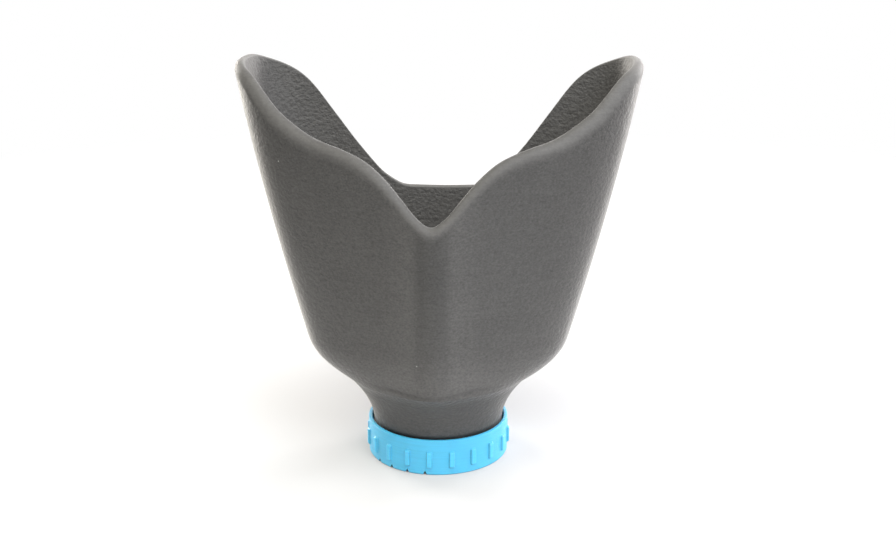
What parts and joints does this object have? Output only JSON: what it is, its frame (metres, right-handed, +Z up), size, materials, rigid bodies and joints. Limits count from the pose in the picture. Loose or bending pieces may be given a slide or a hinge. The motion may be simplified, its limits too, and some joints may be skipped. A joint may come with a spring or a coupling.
{
  "type": "face-fitting snoot",
  "caption": "Light hood with a saddle-shaped rim that fits a face, flaring from a round neck that carries a captive ribbed lock ring.",
  "frame": {"origin": "centre of the lock ring's bottom edge, which is the face the part stands on", "axes": "+Z up through the neck towards the open rim, -Y towards the nose notch, +Y towards the brow side, +X towards one wing"},
  "size_m": [0.1582, 0.0792, 0.1575],
  "materials": {
    "printed_grey": "matte, fine horizontal print layers",
    "printed_blue": "satin, fine print layers",
    "washer_plastic": "smooth",
    "spring_steel": "ground",
    "seal_rubber": "matte"
  },
  "bodies": {
    "hood": {"hood": "printed_grey", "slip_washer": "washer_plastic", "snap_ring": "spring_steel", "light_seal": "seal_rubber"},
    "lock_ring": {"lock_ring": "printed_blue"}
  },
  "joints": [
    {"name": "ring_turn", "type": "hinge", "parent": "hood", "child": "lock_ring", "pos_m": [0, 0, 0.0079], "axis": [0, 0, 1], "range_deg": [0, 45]}
  ]
}
